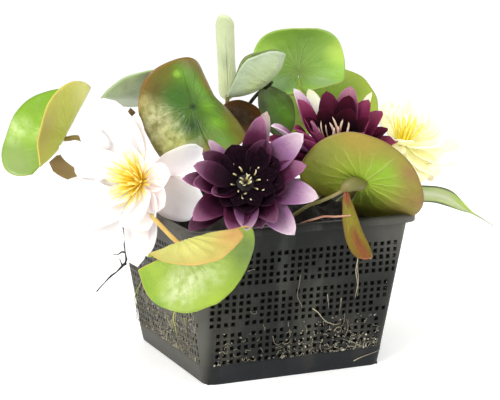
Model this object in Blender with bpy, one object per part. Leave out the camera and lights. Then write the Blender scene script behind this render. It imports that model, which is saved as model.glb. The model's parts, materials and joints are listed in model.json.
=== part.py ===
"""Water lilies of four colours in one square pond basket, in metres, +Z up.

The origin is the middle of the basket's underside. The front wall faces -Y and
the left wall faces -X. Directions are given as (azimuth, elevation) in degrees,
azimuth from +X towards +Y and elevation above the horizon.
"""
from math import cos, pi, radians, sin

import bmesh
import bpy
from mathutils import Matrix, Vector

MM = 0.001
GAP = 0.0003

# Basket, outside. Widths are over the flats.
RIM_WIDTH = 0.194
RIM_LIP = 0.0052
BASKET_HEIGHT = 0.1226
WALL_TOP_WIDTH = 0.1812
BOTTOM_WIDTH = 0.1494
BAND_HEIGHT = 0.015
BAND_PROUD = 0.0009
WALL = 0.0018
CORNER_RADIUS = 0.010
CORNER_STEPS = 4

SOIL_TOP = 0.110
BLADE = 0.0012
BLADE_SECTORS = 16
BLADE_RINGS = 3
STALK_SIDES_LEVEL = 1
HANDLE = 0.35
CROWN_BASE = 0.0040
VALLEY_REACH = 0.6
VALLEY_HEIGHT = 0.5
HEART_HEIGHT = 0.4
STRAP_FOLD = 0.35
RECEPTACLE_TOP = 0.0015
RECEPTACLE_RADIUS = 0.0075
RECEPTACLE_FOOT = 0.0035
RECEPTACLE_DEPTH = 0.009
FLOWER_STALK_RADIUS = 0.0026


def clear_scene():
    for obj in list(bpy.data.objects):
        bpy.data.objects.remove(obj, do_unlink=True)


def material(name, colour, roughness):
    made = bpy.data.materials.new(name)
    made.use_nodes = True
    shader = made.node_tree.nodes["Principled BSDF"]
    shader.inputs["Base Color"].default_value = (*colour, 1)
    shader.inputs["Roughness"].default_value = roughness
    shader.inputs["Metallic"].default_value = 0
    return made


def add_mesh(name, bm, finish, matrix=None):
    mesh = bpy.data.meshes.new(name)
    bm.to_mesh(mesh)
    bm.free()
    mesh.materials.append(finish)
    obj = bpy.data.objects.new(name, mesh)
    bpy.context.scene.collection.objects.link(obj)
    obj.matrix_world = matrix or Matrix.Identity(4)
    return obj


def direction(azimuth, elevation):
    a, e = radians(azimuth), radians(elevation)
    return Vector((cos(a) * cos(e), sin(a) * cos(e), sin(e)))


def up_on_face(normal):
    """The steepest direction upwards on a plane with this normal."""
    return (Vector((0, 0, 1)) - normal * normal.z).normalized()


def square_ring(bm, width, z, radius):
    """The points of a horizontal square outline with round corners."""
    reach = width / 2 - radius
    verts = []
    for corner in range(4):
        middle = Vector((reach, reach, z))
        middle.rotate(Matrix.Rotation(corner * pi / 2, 3, "Z"))
        for step in range(CORNER_STEPS + 1):
            turn = (corner + step / CORNER_STEPS) * pi / 2
            verts.append(bm.verts.new(middle + radius * Vector((cos(turn), sin(turn), 0))))
    return verts


def square_loft(profile):
    """A closed solid through square rings of (width, z, corner radius)."""
    bm = bmesh.new()
    rings = [square_ring(bm, *row) for row in profile]
    for lower, upper in zip(rings, rings[1:]):
        for i in range(len(lower)):
            bm.faces.new((lower[i - 1], lower[i], upper[i], upper[i - 1]))
    bm.faces.new(reversed(rings[0]))
    bm.faces.new(rings[-1])
    bmesh.ops.recalc_face_normals(bm, faces=bm.faces)
    return bm


def wall_width(z):
    """Outside width of the sloping wall at this height."""
    return BOTTOM_WIDTH + (WALL_TOP_WIDTH - BOTTOM_WIDTH) * z / (BASKET_HEIGHT - RIM_LIP)


def inner_width(z):
    """Inside width of the wall at this height."""
    low, high = wall_width(WALL) - 2 * WALL, WALL_TOP_WIDTH - 2 * WALL
    return low + (high - low) * (z - WALL) / (BASKET_HEIGHT - WALL)


def make_basket(finish):
    lip_bottom = BASKET_HEIGHT - RIM_LIP
    band_top = wall_width(BAND_HEIGHT)
    profile = (
        (BOTTOM_WIDTH, 0, CORNER_RADIUS),
        (band_top + 2 * BAND_PROUD, BAND_HEIGHT, CORNER_RADIUS + BAND_PROUD),
        (band_top, BAND_HEIGHT + BAND_PROUD, CORNER_RADIUS),
        (WALL_TOP_WIDTH, BASKET_HEIGHT - WALL, CORNER_RADIUS),
        (RIM_WIDTH - 2 * WALL, BASKET_HEIGHT - WALL, CORNER_RADIUS + 2 * WALL),
        (RIM_WIDTH - 2 * WALL, lip_bottom, CORNER_RADIUS + 2 * WALL),
        (RIM_WIDTH, lip_bottom, CORNER_RADIUS + 3 * WALL),
        (RIM_WIDTH, BASKET_HEIGHT - WALL / 2, CORNER_RADIUS + 3 * WALL),
        (RIM_WIDTH - WALL, BASKET_HEIGHT, CORNER_RADIUS + 2 * WALL),
        (inner_width(BASKET_HEIGHT), BASKET_HEIGHT, CORNER_RADIUS - WALL),
        (inner_width(WALL), WALL, CORNER_RADIUS - WALL),
    )
    return add_mesh("basket", square_loft(profile), finish)


def make_soil(finish):
    floor = WALL + GAP
    radius = CORNER_RADIUS - WALL - GAP
    profile = [(inner_width(z) - 2 * GAP, z, radius) for z in (floor, SOIL_TOP)]
    return add_mesh("soil", square_loft(profile), finish)


class Pad:
    """A lily pad: an oval plate with a notch that runs in to the stalk.

    Local axes: +X from the stalk to the tip, +Z out of the upper face. The halves
    fold up about the X axis by fold_left (+Y side) and fold_right, over a bend of
    radius fold_radius. arch bends the midrib, as turns per metre in radians, and
    wave lifts and sinks the margin twice round.
    """

    def __init__(self, at, faces, spin, size, stalk_to_middle, notch=12, folds=(0, 0),
                 fold_radius=20, arch=0, wave=0, wave_turn=0, egg=0):
        self.at = Vector(at) * MM
        self.normal = direction(*faces)
        upward = up_on_face(self.normal)
        turn = radians(spin)
        self.tip = cos(turn) * upward + sin(turn) * self.normal.cross(upward)
        self.half_length, self.half_width = size[0] * MM, size[1] * MM
        self.middle = stalk_to_middle * MM
        self.notch = radians(notch)
        self.folds = tuple(radians(fold) for fold in folds)
        self.fold_radius = fold_radius * MM
        self.arch = arch
        self.wave, self.wave_turn = wave * MM, radians(wave_turn)
        self.egg = egg

    def matrix(self):
        side = self.normal.cross(self.tip)
        turned = Matrix((self.tip, side, self.normal)).transposed().to_4x4()
        return Matrix.Translation(self.at) @ turned

    def point(self, around, out):
        """around is the angle from the tip, out runs from 0 at the stalk to 1 at the margin."""
        x = out * (self.middle + self.half_length * cos(around))
        y = out * self.half_width * sin(around) * (1 + self.egg * cos(around))
        lift = self.wave * out ** 2 * sin(2 * around + self.wave_turn)
        fold = self.folds[0] if y > 0 else self.folds[1]
        way = -1 if fold < 0 else 1
        left = -1 if y < 0 else 1
        bent = min(abs(y) / self.fold_radius, abs(fold))
        flat = max(abs(y) - self.fold_radius * abs(fold), 0)
        across = self.fold_radius * sin(bent) + flat * cos(fold) - lift * way * sin(bent)
        height = way * (self.fold_radius * (1 - cos(bent)) + flat * sin(abs(fold)))
        height += lift * cos(bent)
        if self.arch:
            radius = 1 / self.arch
            along = sin(self.arch * x) * (radius - height)
            height = radius - cos(self.arch * x) * (radius - height)
            x = along
        return Vector((x, left * across, height))


def make_blade(name, pad, finish):
    bm = bmesh.new()
    bmesh.ops.create_grid(bm, x_segments=BLADE_SECTORS, y_segments=BLADE_RINGS, size=1)
    for vert in bm.verts:
        around = -vert.co.x * (pi - pad.notch)
        vert.co = pad.point(around, (vert.co.y + 1) / 2)
    bmesh.ops.remove_doubles(bm, verts=bm.verts, dist=1e-6)
    blade = add_mesh(name, bm, finish, pad.matrix())
    wall = blade.modifiers.new("thickness", "SOLIDIFY")
    wall.thickness = BLADE
    wall.offset = -1
    return blade


def make_stalk(name, root, through, end, along, radius, finish):
    """A stalk that rises upright from the soil at root (x, y) in mm, passes the points of
    through, and reaches end running along this direction."""
    foot = Vector((root[0] * MM, root[1] * MM, SOIL_TOP + GAP))
    points = [foot, *(Vector(p) * MM for p in through), end]
    curve = bpy.data.curves.new(name, "CURVE")
    curve.dimensions = "3D"
    curve.resolution_u = 8 if len(points) == 2 else 5
    curve.bevel_depth = radius
    curve.bevel_resolution = STALK_SIDES_LEVEL
    curve.use_fill_caps = True
    spline = curve.splines.new("BEZIER")
    spline.bezier_points.add(len(points) - 1)
    knots = spline.bezier_points
    for knot, point in zip(knots, points):
        knot.co = point
        knot.handle_left_type = knot.handle_right_type = "AUTO"
    set_handles(knots[0], Vector((0, 0, 1)), (points[1] - points[0]).length * HANDLE)
    set_handles(knots[-1], along, (points[-1] - points[-2]).length * HANDLE)
    curve.materials.append(finish)
    obj = bpy.data.objects.new(name, curve)
    bpy.context.scene.collection.objects.link(obj)
    return obj


def set_handles(knot, way, reach):
    """Makes the curve pass this knot along way."""
    knot.handle_left_type = knot.handle_right_type = "FREE"
    knot.handle_left = knot.co - way * reach
    knot.handle_right = knot.co + way * reach


# Sections of a petal as (part of its length, part of its width), before the pointed tip.
PETAL_STATIONS = ((0, 0.28), (0.38, 0.92), (0.74, 0.86))
PETAL_SEAT = 0.66
PETAL_BOW = 0.22
PETAL_CUP = 0.3
PETAL_RIDGE = 0.0004
PETAL_KEEL = 0.0009


def make_petals(name, centre, axis, petals, finish):
    """All petals of a flower in one hidden mesh. A petal is (clock, opening, length, width):
    its clock angle about the axis from the top, its angle from the axis, and its reach and
    breadth in mm."""
    bm = bmesh.new()
    top = up_on_face(axis)
    for clock, opening, length, width in petals:
        turn, lean = radians(clock), radians(opening)
        outward = cos(turn) * top + sin(turn) * top.cross(axis)
        tip = centre + length * MM * (cos(lean) * axis + sin(lean) * outward)
        base = centre + outward * RECEPTACLE_RADIUS * PETAL_SEAT
        line = tip - base
        across = axis.cross(outward)
        inner = across.cross(line).normalized()
        if inner.dot(axis * sin(lean) - outward * cos(lean)) < 0:
            inner.negate()
        loops = []
        for along, breadth in PETAL_STATIONS:
            half = breadth * width * MM / 2
            bow = PETAL_BOW * line.length * along * (1 - along)
            middle = base + along * line - inner * bow
            rise = inner * PETAL_CUP * half
            loops.append([bm.verts.new(p) for p in (
                middle - across * half + rise, middle + inner * PETAL_RIDGE,
                middle + across * half + rise, middle - inner * PETAL_KEEL)])
        point = bm.verts.new(tip)
        for lower, upper in zip(loops, loops[1:]):
            for i in range(4):
                bm.faces.new((lower[i - 1], lower[i], upper[i], upper[i - 1]))
        for i in range(4):
            bm.faces.new((loops[-1][i - 1], loops[-1][i], point))
        bm.faces.new(reversed(loops[0]))
    bmesh.ops.recalc_face_normals(bm, faces=bm.faces)
    helper = add_mesh(name, bm, finish)
    helper.hide_render = True
    helper.display_type = "WIRE"
    return helper


def make_flower(name, centre, axis, petals, finish):
    """The receptacle, a short cone on the flower's axis, with its petals grown onto it."""
    middle = centre + axis * (RECEPTACLE_TOP - RECEPTACLE_DEPTH / 2)
    turned = Matrix.Translation(middle) @ axis.to_track_quat("Z", "Y").to_matrix().to_4x4()
    bm = bmesh.new()
    bmesh.ops.create_cone(bm, cap_ends=True, segments=10, radius1=RECEPTACLE_FOOT,
                          radius2=RECEPTACLE_RADIUS, depth=RECEPTACLE_DEPTH, matrix=turned)
    flower = add_mesh(name, bm, finish)
    join = flower.modifiers.new("petals", "BOOLEAN")
    join.operation = "UNION"
    join.solver = "EXACT"
    join.use_self = True
    join.object = make_petals(name + "_petals", centre, axis, petals, finish)
    return flower


def make_crown(name, centre, axis, spikes, reach, height, finish):
    """The ring of stamens as one star-shaped cup on top of the receptacle: a spike of full
    reach and height, then a valley, all the way round."""
    bm = bmesh.new()
    side = up_on_face(axis)
    other = axis.cross(side)
    floor = RECEPTACLE_TOP + GAP

    def at(turn, radius, rise):
        return bm.verts.new(centre + axis * rise + radius * (cos(turn) * side + sin(turn) * other))

    turns = [i * pi / spikes for i in range(2 * spikes)]
    base = [at(turn, CROWN_BASE, floor) for turn in turns]
    rim = []
    for i, turn in enumerate(turns):
        drop_in, drop_down = (1, 1) if i % 2 else (VALLEY_REACH, VALLEY_HEIGHT)
        rim.append(at(turn, reach * drop_in, height * drop_down))
    bottom, heart = at(0, 0, floor), at(0, 0, height * HEART_HEIGHT)
    for i in range(2 * spikes):
        bm.faces.new((base[i - 1], base[i], rim[i], rim[i - 1]))
        bm.faces.new((base[i], base[i - 1], bottom))
        bm.faces.new((rim[i - 1], rim[i], heart))
    bmesh.ops.recalc_face_normals(bm, faces=bm.faces)
    return add_mesh(name, bm, finish)


def make_strap(name, route, widths, across, finish):
    """A long narrow leaf along a smooth route, folded to a shallow V, which ends in a point."""
    bm = bmesh.new()
    points = [Vector(p) * MM for p in route]
    rows = []
    for i, (point, width) in enumerate(zip(points, widths)):
        ahead = points[min(i + 1, len(points) - 1)] - points[max(i - 1, 0)]
        keel = across.cross(ahead).normalized()
        half = width * MM / 2
        rows.append([bm.verts.new(p) for p in (
            point - across * half - keel * half * STRAP_FOLD, point + keel * BLADE,
            point + across * half - keel * half * STRAP_FOLD, point)])
    for lower, upper in zip(rows, rows[1:]):
        for i in range(4):
            bm.faces.new((lower[i - 1], lower[i], upper[i], upper[i - 1]))
    bm.faces.new(rows[0])
    bm.faces.new(rows[-1])
    bmesh.ops.recalc_face_normals(bm, faces=bm.faces)
    return add_mesh(name, bm, finish)


# Every pad: its blade, then its stalk as (root on the soil, points passed, radius) and,
# where it doesn't meet the blade square on, the direction in which it arrives.
LEAVES = {
    "folded_leaf_left": (
        Pad((-133, 94, 171), (-173, 40), 17, (50, 50), -1, notch=20, folds=(47, 61), fold_radius=12),
        ((-60, 38), ((-84, 60, 137),), 1.9)),
    "pale_leaf_left": (
        Pad((-67, 39, 209), (106, 67), -112, (38, 34), 10, folds=(27, 3), arch=7),
        ((-52, 46), (), 1.9)),
    "bronze_leaf": (
        Pad((-58, -8, 204), (-97, 20), 14, (42, 44), -3, notch=14, folds=(-26, -56), fold_radius=40,
            arch=4.5, wave=9, wave_turn=22),
        ((-40, 10), ((-42, 8, 150),), 2.2)),
    "rolled_young_leaf": (
        Pad((-8, 58, 203), (-60, -25), 6, (38, 19.5), 34, notch=20, folds=(160, 160),
            fold_radius=7.2, arch=-8),
        ((-14, 38), (), 2.0)),
    "sage_leaf": (
        Pad((14, 6, 217), (154, 46), 9, (35, 38), -3, folds=(64, 54), fold_radius=10, arch=22),
        ((4, 12), (), 1.9)),
    "round_leaf_back": (
        Pad((53, 35, 224), (-88, 24), -15, (34, 40), 7, folds=(-6, 9), arch=35, wave=6,
            wave_turn=5),
        ((36, 43), (), 2.0)),
    "lime_leaf_back": (
        Pad((94, 55, 195), (-106, 50), -107, (37, 37), 4, folds=(10, 10), arch=-6),
        ((60, 43), (), 1.9)),
    "dark_leaf": (
        Pad((24, 13, 196), (-73, 13), 20, (19, 17), 2, folds=(12, 12)),
        ((20, 22), (), 1.6)),
    "brown_leaf": (
        Pad((-8, 16, 190), (-86, 45), -122, (18, 16), 2, folds=(15, 15)),
        ((-10, 18), (), 1.5)),
    "broad_leaf_right": (
        Pad((45, -93, 153), (58, 42), 45, (40, 51), 2, notch=20, folds=(-6, 5), fold_radius=30,
            arch=10.5, wave=-7.5, wave_turn=20),
        ((-12, -64), ((-3, -90, 131), (12, -110, 144)), 2.6)),
    "red_hanging_leaf": (
        Pad((27, -111, 129), (81, -47), -178, (35, 8), 17, folds=(17, 17), fold_radius=4, arch=-11.5,
            egg=0.2),
        ((-4, -72), ((1, -98, 129),), 1.1, (-20, 0))),
    "folded_leaf_front": (
        Pad((-105, -107, 116), (-91, -11), -76, (46, 55), 7, folds=(89, -2), fold_radius=8, arch=8),
        ((-80, -29), ((-95, -45, 132), (-107, -62, 129)), 2.0)),
}

# Every flower: centre, axis, petals, then stalk as (root, points passed).
FLOWERS = {
    "white_flower": (
        (-103, -7, 148), (-146, 17),
        ((342, 68, 66, 27), (318, 57, 62, 24), (291, 52, 64, 24), (248, 53, 64, 24),
         (217, 52, 64, 24), (190, 60, 62, 24), (169, 84, 68, 27), (141, 70, 60, 24),
         (42, 110, 56, 24), (100, 118, 53, 32), (266, 78, 66, 24), (22, 84, 58, 22),
         (230, 82, 64, 22), (130, 73, 48, 18), (74, 57, 46, 19), (1, 69, 54, 17),
         (279, 66, 70, 14), (265, 72, 56, 14), (35, 50, 46, 18), (105, 50, 44, 18),
         (165, 46, 50, 20), (305, 40, 50, 19), (235, 38, 50, 19)),
        ((-54, 2), ())),
    "purple_flower_front": (
        (-49, -90, 156), (-110, 33),
        ((10, 81, 53, 19), (54, 70, 56, 19), (107, 76, 56, 19), (139, 90, 53, 18),
         (230, 70, 53, 19), (266, 62, 53, 16), (330, 95, 51, 17), (25, 90, 46, 15),
         (80, 65, 49, 16), (169, 69, 43, 15), (195, 74, 45, 15), (257, 65, 43, 15),
         (276, 50, 47, 16), (349, 88, 38, 14), (32, 58, 44, 15), (125, 60, 44, 15),
         (302, 62, 46, 16), (5, 45, 34, 13), (56, 45, 34, 13), (107, 45, 34, 13),
         (158, 45, 34, 13), (210, 45, 34, 13), (262, 42, 34, 13), (313, 45, 34, 13)),
        ((-26, -50), ())),
    "purple_flower_back": (
        (65, -30, 179), (-113, 70),
        ((293, 54, 55, 14), (265, 48, 48, 12), (277, 80, 60, 15), (333, 58, 42, 14),
         (7, 62, 46, 17), (7, 50, 36, 14), (31, 66, 38, 13), (46, 84, 42, 13),
         (125, 67, 40, 12), (127, 89, 44, 14), (100, 78, 42, 13), (235, 72, 48, 15),
         (195, 68, 46, 15), (155, 68, 44, 14), (317, 75, 48, 14), (80, 45, 32, 12),
         (140, 42, 30, 12), (205, 42, 32, 12), (250, 42, 32, 12), (305, 40, 34, 12),
         (345, 36, 32, 12)),
        ((40, -12), ())),
    "yellow_flower": (
        (123, -18, 167), (-97, 69),
        ((150, 88, 52, 16), (141, 67, 50, 15), (65, 78, 50, 16), (42, 66, 50, 15),
         (23, 65, 50, 15), (6, 74, 50, 16), (340, 86, 48, 16), (182, 96, 50, 16),
         (115, 84, 50, 16), (310, 75, 48, 16), (270, 85, 48, 16), (225, 72, 48, 16),
         (95, 55, 42, 13), (200, 55, 42, 13), (290, 55, 42, 13), (165, 55, 42, 13),
         (245, 52, 42, 13), (335, 50, 42, 13), (55, 48, 42, 13)),
        ((70, 4), ((95, -8, 134),))),
}

# The stamens of each flower: spikes, reach and height in mm.
CROWNS = {
    "white_flower": (14, 12, 17),
    "purple_flower_front": (12, 9, 14),
    "purple_flower_back": (10, 7.5, 14),
    "yellow_flower": (12, 9, 19),
}

GRASS_ROUTE = ((76, -50, 113), (84, -56, 126), (96, -64, 134), (110, -72, 138), (124, -80, 137),
               (136, -87, 131), (148, -94, 121), (163, -103, 107))
GRASS_WIDTHS = (7, 9, 12, 13, 12, 9, 5, 1)
GRASS_ACROSS = (-60, 65)

FINISHES = {
    "basket": ((0.045, 0.046, 0.045), 0.5),
    "soil": ((0.05, 0.032, 0.02), 0.95),
    "stalk": ((0.33, 0.30, 0.10), 0.45),
    "folded_leaf_left": ((0.33, 0.52, 0.08), 0.3),
    "pale_leaf_left": ((0.42, 0.55, 0.36), 0.4),
    "bronze_leaf": ((0.14, 0.21, 0.04), 0.25),
    "rolled_young_leaf": ((0.55, 0.68, 0.42), 0.45),
    "sage_leaf": ((0.45, 0.55, 0.38), 0.4),
    "round_leaf_back": ((0.27, 0.48, 0.12), 0.35),
    "lime_leaf_back": ((0.38, 0.52, 0.06), 0.4),
    "dark_leaf": ((0.08, 0.17, 0.04), 0.4),
    "brown_leaf": ((0.13, 0.06, 0.02), 0.4),
    "broad_leaf_right": ((0.40, 0.42, 0.09), 0.45),
    "red_hanging_leaf": ((0.33, 0.15, 0.06), 0.4),
    "folded_leaf_front": ((0.33, 0.52, 0.14), 0.25),
    "grass_leaf_right": ((0.40, 0.50, 0.24), 0.45),
    "white_flower": ((0.85, 0.82, 0.76), 0.5),
    "purple_flower_front": ((0.18, 0.02, 0.13), 0.4),
    "purple_flower_back": ((0.20, 0.01, 0.10), 0.4),
    "yellow_flower": ((0.85, 0.78, 0.35), 0.5),
    "yellow_stamens": ((0.85, 0.62, 0.05), 0.5),
    "dark_stamens": ((0.10, 0.02, 0.04), 0.5),
}


def make_leaf(name, pad, stalk, finishes):
    root, through, radius, *arrival = stalk
    make_blade(name, pad, finishes[name])
    along = direction(*arrival[0]) if arrival else pad.normal
    clear = radius * MM * (1 - along.dot(pad.normal))
    end = pad.at - pad.normal * (BLADE + 2 * GAP + clear)
    make_stalk(name + "_stalk", root, through, end, along, radius * MM, finishes["stalk"])


def make_whole_flower(name, centre, axis, petals, stalk, finishes):
    centre, axis = Vector(centre) * MM, direction(*axis)
    make_flower(name, centre, axis, petals, finishes[name])
    spikes, reach, height = CROWNS[name]
    colour = "dark_stamens" if "purple" in name else "yellow_stamens"
    make_crown(name + "_stamens", centre, axis, spikes, reach * MM, height * MM, finishes[colour])
    end = centre - axis * (RECEPTACLE_DEPTH - RECEPTACLE_TOP + GAP)
    root, through = stalk
    make_stalk(name + "_stalk", root, through, end, axis, FLOWER_STALK_RADIUS, finishes["stalk"])


def main():
    clear_scene()
    finishes = {name: material(name, *look) for name, look in FINISHES.items()}
    make_basket(finishes["basket"])
    make_soil(finishes["soil"])
    for name, (pad, stalk) in LEAVES.items():
        make_leaf(name, pad, stalk, finishes)
    for name, (centre, axis, petals, stalk) in FLOWERS.items():
        make_whole_flower(name, centre, axis, petals, stalk, finishes)
    make_strap("grass_leaf_right", GRASS_ROUTE, GRASS_WIDTHS, direction(*GRASS_ACROSS),
               finishes["grass_leaf_right"])


main()
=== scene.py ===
"""Looks of the water lilies in their pond basket, in metres, +Z up.

Sizes, places and formulas repeat those of the solids. Directions are (azimuth, elevation)
in degrees. Lengths in the tables are in millimetres.
"""
import json
from math import cos, pi, radians, sin
from random import Random

import bmesh
import bpy
from mathutils import Matrix, Vector, noise

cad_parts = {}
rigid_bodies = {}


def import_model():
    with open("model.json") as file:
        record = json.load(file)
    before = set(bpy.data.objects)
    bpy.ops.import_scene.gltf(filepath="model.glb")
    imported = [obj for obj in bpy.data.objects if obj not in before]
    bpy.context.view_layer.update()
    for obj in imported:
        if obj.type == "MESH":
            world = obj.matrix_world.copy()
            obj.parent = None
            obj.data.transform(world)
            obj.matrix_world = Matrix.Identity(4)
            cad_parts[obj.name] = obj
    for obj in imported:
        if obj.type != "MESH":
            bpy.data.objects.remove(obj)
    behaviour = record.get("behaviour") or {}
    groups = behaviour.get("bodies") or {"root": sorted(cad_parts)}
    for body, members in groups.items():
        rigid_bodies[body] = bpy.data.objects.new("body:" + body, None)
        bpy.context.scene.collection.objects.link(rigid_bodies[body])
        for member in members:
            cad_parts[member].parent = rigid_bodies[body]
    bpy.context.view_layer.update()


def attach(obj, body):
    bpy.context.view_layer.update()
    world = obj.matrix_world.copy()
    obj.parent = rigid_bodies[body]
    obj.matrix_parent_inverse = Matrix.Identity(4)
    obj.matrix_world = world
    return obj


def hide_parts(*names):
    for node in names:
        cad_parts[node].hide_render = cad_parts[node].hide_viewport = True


MM = 0.001

# Basket and soil
RIM_WIDTH = 0.194
RIM_LIP = 0.0052
BASKET_HEIGHT = 0.1226
WALL_TOP_WIDTH = 0.1812
BOTTOM_WIDTH = 0.1494
BAND_HEIGHT = 0.015
BAND_PROUD = 0.0009
WALL = 0.0018
CORNER_RADIUS = 0.010
SOIL_TOP = 0.110
MESH_PITCH = 0.0058
MESH_HOLE = 0.0033
MESH_COLUMNS = 28
MESH_BANDS = ((0.0284, 24), (0.0585, 26), (0.0902, 28))
MESH_ROWS = 5
MESH_ROW_PITCH = 0.0054
BASE_HOLES = 17
CLOGGED_HOLES = 0.05
CORNER_LINES = 5

# Leaves, flowers and stalks
BLADE = 0.0012
HANDLE = 0.35
RECEPTACLE_TOP = 0.0015
RECEPTACLE_RADIUS = 0.0075
RECEPTACLE_FOOT = 0.0035
RECEPTACLE_DEPTH = 0.009
FLOWER_STALK_RADIUS = 0.0026
PETAL_SEAT = 0.66
PETAL_WALL = 0.0006
STALK_ROOT = 0.004
VEINS = 17
VEIN_WIDTH = 0.0009
SECTORS = 96
RINGS = 18

# How many loose root ends and crumbs lie on the walls
FRONT_STRAYS = 120
LEFT_STRAYS = 420
CRUMBS = 620

# Floor, lamps as (name, place, size, watts) and the camera, as it was fitted to the picture
FLOOR_RADIUS = 1.1
LAMPS = (("key", (-1.35, -0.95, 1.15), 0.8, 27), ("top", (0.1, -0.5, 1.6), 1.0, 9),
         ("side", (1.3, -0.7, 0.8), 0.9, 6), ("back", (0.3, 1.5, 1.2), 1.2, 8))
LAMPS_AIM = (0, 0, 0.13)
CAMERA_PLACE = (-0.485, -1.104, 0.346)
CAMERA_AIM = (90 - 23.448, -10.386)
CAMERA_LENS = (109.94, 36)


def direction(azimuth, elevation):
    a, e = radians(azimuth), radians(elevation)
    return Vector((cos(a) * cos(e), sin(a) * cos(e), sin(e)))


def up_on_face(normal):
    """The steepest direction upwards on a plane with this normal."""
    return (Vector((0, 0, 1)) - normal * normal.z).normalized()


def ease(value, low, high):
    """0 below low, 1 above high, smooth between."""
    t = min(max((value - low) / (high - low), 0), 1)
    return t * t * (3 - 2 * t)


def wall_width(z):
    return BOTTOM_WIDTH + (WALL_TOP_WIDTH - BOTTOM_WIDTH) * z / (BASKET_HEIGHT - RIM_LIP)


def inner_width(z):
    low, high = wall_width(WALL) - 2 * WALL, WALL_TOP_WIDTH - 2 * WALL
    return low + (high - low) * (z - WALL) / (BASKET_HEIGHT - WALL)


# ---- materials


def tint(code):
    """A hex sRGB colour as linear RGBA; any other value as it is."""
    if not isinstance(code, str):
        return code
    parts = [int(code[i:i + 2], 16) / 255 for i in (0, 2, 4)]
    return (*(c / 12.92 if c < 0.04045 else ((c + 0.055) / 1.055) ** 2.4 for c in parts), 1)


def sum_of(kind):
    """A method that joins a wire and any other numbers by this sum."""
    def method(self, *others):
        return self.finish.node("ShaderNodeMath", {"operation": kind},
                                **{str(i): v for i, v in enumerate((self, *others))})
    return method


class Wire:
    """A number or colour that varies over a surface."""

    def __init__(self, finish, socket):
        self.finish, self.socket = finish, socket

    __add__ = __radd__ = sum_of("ADD")
    __mul__ = __rmul__ = sum_of("MULTIPLY")
    __sub__ = sum_of("SUBTRACT")
    __abs__ = sum_of("ABSOLUTE")
    fraction = sum_of("FRACT")
    over = sum_of("MAXIMUM")

    def ease(self, low, high):
        """0 at low, 1 at high, smooth between, either way round."""
        return self.finish.node("ShaderNodeMapRange", {"interpolation_type": "SMOOTHSTEP"},
                                Value=self, **{"From Min": low, "From Max": high})


class Nodes:
    """A node tree built from expressions."""

    def __init__(self, owner):
        owner.use_nodes = True
        self.tree = owner.node_tree

    def node(self, kind, settings=None, output=0, **values):
        made = self.tree.nodes.new(kind)
        for key, value in (settings or {}).items():
            setattr(made, key, value)
        for key, value in values.items():
            self.feed(made.inputs[int(key) if key.isdigit() else key], value)
        return Wire(self, made.outputs[output])

    def feed(self, socket, value):
        if isinstance(value, Wire):
            self.tree.links.new(value.socket, socket)
        else:
            socket.default_value = tint(value)

    def ramp(self, value, *stops):
        made = self.node("ShaderNodeValToRGB", Fac=value)
        elements = made.socket.node.color_ramp.elements
        elements.remove(elements[1])
        for i, (place, colour) in enumerate(stops):
            element = elements.new(place) if i else elements[0]
            element.position, element.color = place, tint(colour)
        return made


class Finish(Nodes):
    """A material. Sockets that don't vary are given by name."""

    def __init__(self, name, shine, **sockets):
        self.material = bpy.data.materials.new(name)
        super().__init__(self.material)
        self.shader = self.tree.nodes["Principled BSDF"]
        self.set("Specular IOR Level", shine)
        for key, value in sockets.items():
            self.set(key.replace("_", " "), value)

    def set(self, name, value):
        self.feed(self.shader.inputs[name], value)

    def place(self):
        return self.node("ShaderNodeTexCoord", output=3)

    def uv(self, name):
        """The two numbers of this UV map."""
        both = self.node("ShaderNodeUVMap", {"uv_map": name})
        return [self.node("ShaderNodeSeparateXYZ", output=i, Vector=both) for i in (0, 1)]

    def spot(self, x, y, z=0.0):
        return self.node("ShaderNodeCombineXYZ", **{"0": x, "1": y, "2": z})

    def noise(self, scale, detail=3, rough=0.5, vector=None):
        return self.node("ShaderNodeTexNoise", Vector=vector or self.place(), Scale=scale,
                         Detail=detail, Roughness=rough)

    def mix(self, factor, first, second):
        return self.node("ShaderNodeMix", {"data_type": "RGBA"}, 2,
                         **{"0": factor, "6": first, "7": second})

    def near(self, x, y, point):
        """Distance from this point of a map with these two numbers."""
        return self.node("ShaderNodeVectorMath", {"operation": "DISTANCE"}, 1,
                         **{"0": self.spot(x, y), "1": (*point, 0)})

    def done(self, colour, rough, height=None, depth=0.0):
        """The material, with its colour, roughness and fine relief."""
        self.set("Base Color", colour)
        self.set("Roughness", rough)
        if height:
            self.set("Normal", self.node("ShaderNodeBump", Height=height, Distance=depth))
        return self.material


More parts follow.
